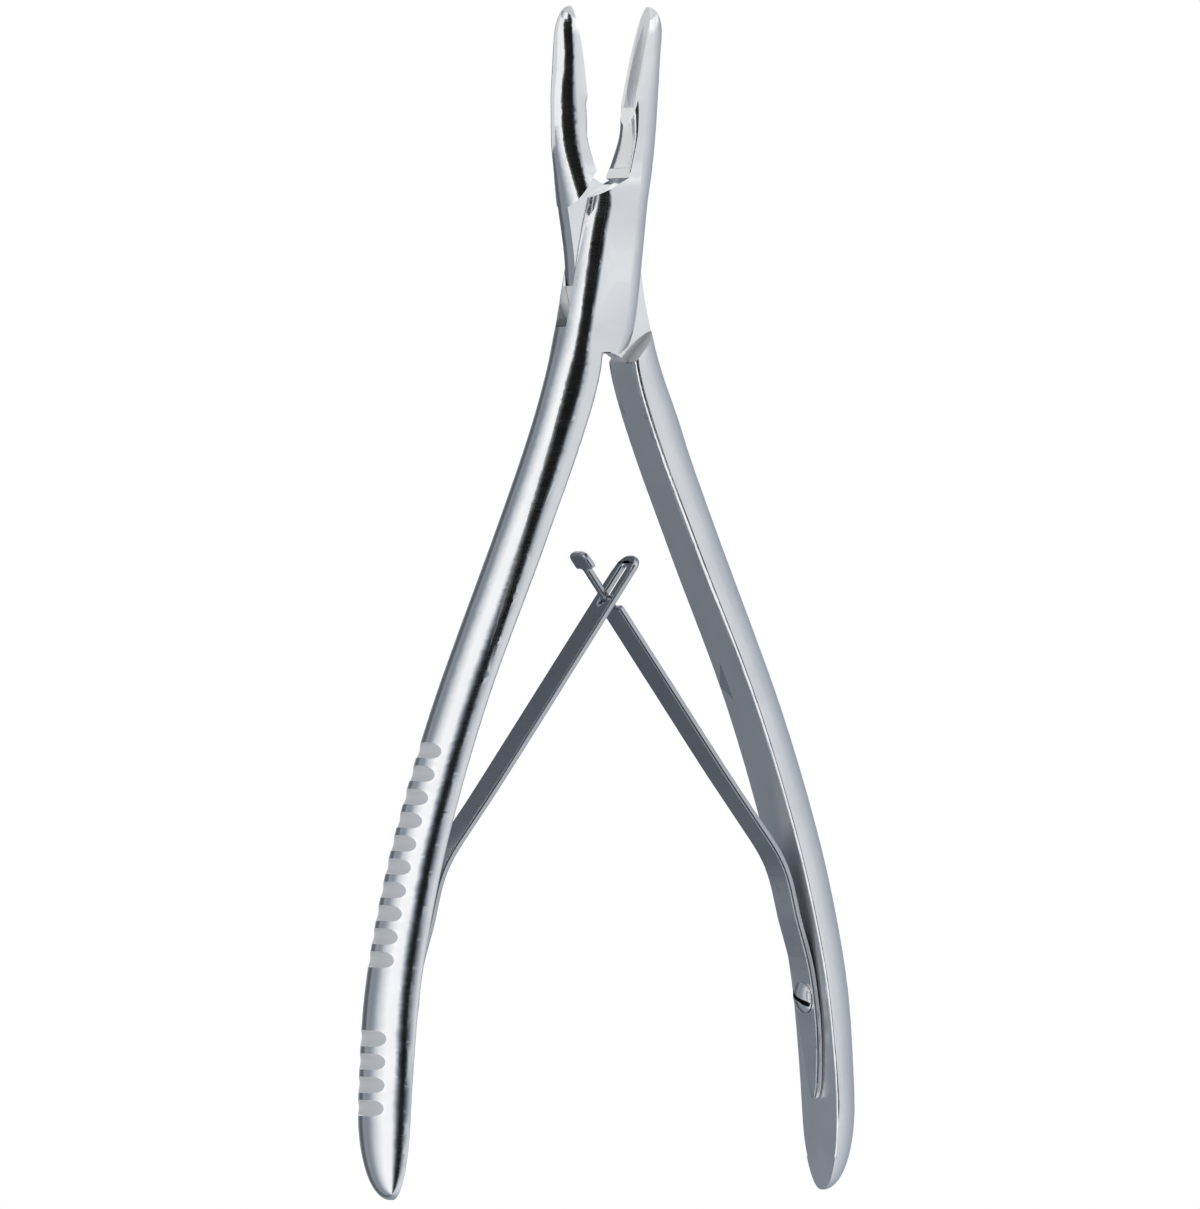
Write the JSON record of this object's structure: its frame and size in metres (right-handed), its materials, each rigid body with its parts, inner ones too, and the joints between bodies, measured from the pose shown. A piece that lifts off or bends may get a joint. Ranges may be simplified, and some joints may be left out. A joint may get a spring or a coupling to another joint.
{
  "type": "bone rongeur",
  "caption": "Straight bone rongeur with fine cupped jaws, a box lock, a grooved handle and interlocking leaf springs.",
  "frame": {"origin": "on the pivot axis, at the lock's back flat face", "axes": "+Z along the pivot axis, out of the front face; +Y along the instrument to the jaws; -X to the grooved handle"},
  "size_m": [0.0798, 0.1689, 0.0104],
  "materials": {
    "satin_steel": "fine satin, brushed along the instrument",
    "spring_steel": "fine satin, a little darker"
  },
  "bodies": {
    "grooved_side": {"grooved_half": "satin_steel", "lock_pin": "satin_steel", "slotted_leaf_spring": "spring_steel", "slotted_spring_screw": "satin_steel"},
    "plain_side": {"plain_half": "satin_steel", "hooked_leaf_spring": "spring_steel", "hooked_spring_screw": "satin_steel"}
  },
  "joints": [
    {"name": "lock_hinge", "type": "hinge", "parent": "grooved_side", "child": "plain_side", "pos_m": [0, 0, 0.004], "axis": [0, 0, -1], "range_deg": [0, 19.3], "stiffness_Nm_per_rad": 3, "springref_deg": -4.58, "deforming": ["slotted_leaf_spring", "hooked_leaf_spring"]}
  ]
}
